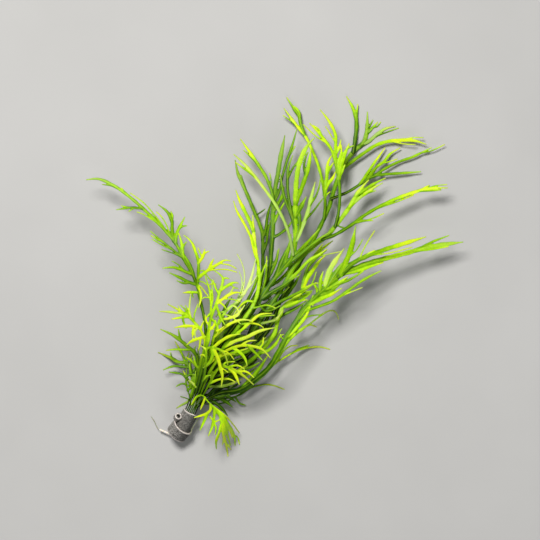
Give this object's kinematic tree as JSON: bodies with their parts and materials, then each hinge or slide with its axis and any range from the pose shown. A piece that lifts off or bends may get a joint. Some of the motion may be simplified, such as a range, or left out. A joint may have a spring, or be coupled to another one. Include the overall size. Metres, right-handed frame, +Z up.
{
  "type": "lace leaf water sprite",
  "caption": "Bunch of finely divided green fern fronds, bound at the base by a wound strip of soft grey metal, lying on a surface.",
  "frame": {"origin": "centre of the bunch's outline on the surface it lies on", "axes": "+Z up from the surface, +Y from the metal strip towards the leaf tips, +X to the right of that seen from above"},
  "size_m": [0.2258, 0.2183, 0.051],
  "materials": {
    "green_leaf": "satin leaf, mid green",
    "young_leaf": "satin leaf, bright yellow green",
    "shaded_leaf": "satin leaf, deep green",
    "soft_metal": "dull grey with bright cut edges and a pressed texture",
    "blanched_stalk": "smooth, pale cream",
    "root_hair": "dull olive"
  },
  "bodies": {
    "root": {"cut_stalk": "blanched_stalk", "frond_base_left": "green_leaf", "frond_centre": "green_leaf", "frond_crown_right": "shaded_leaf", "frond_dark_arch": "shaded_leaf", "frond_front_left": "young_leaf", "frond_front_low": "young_leaf", "frond_front_right": "young_leaf", "frond_hanging": "young_leaf", "frond_hooked": "green_leaf", "frond_inner_base": "shaded_leaf", "frond_inner_left": "shaded_leaf", "frond_inner_low": "shaded_leaf", "frond_inner_middle": "shaded_leaf", "frond_inner_right": "shaded_leaf", "frond_lace_left": "young_leaf", "frond_left_base": "green_leaf", "frond_left_lower": "green_leaf", "frond_left_middle": "young_leaf", "frond_left_small": "green_leaf", "frond_light_leaf": "young_leaf", "frond_long_left": "green_leaf", "frond_long_right": "young_leaf", "frond_lowest": "green_leaf", "frond_lying": "shaded_leaf", "frond_tall_left": "green_leaf", "frond_thin_low": "green_leaf", "frond_upper_right": "young_leaf", "frond_white_blade": "young_leaf", "frond_yellow_tips": "young_leaf", "pinna_centre_left": "green_leaf", "pinna_crown_arch": "shaded_leaf", "pinna_crown_left": "shaded_leaf", "pinna_crown_low": "shaded_leaf", "pinna_crown_top": "shaded_leaf", "pinna_left_fork": "young_leaf", "pinna_long_right": "young_leaf", "pinna_tall_left": "green_leaf", "pinna_upper_left": "young_leaf", "pinna_upper_low": "young_leaf", "root_hair_left": "root_hair", "root_hair_right": "root_hair", "weight_strip": "soft_metal"}
  },
  "joints": []
}
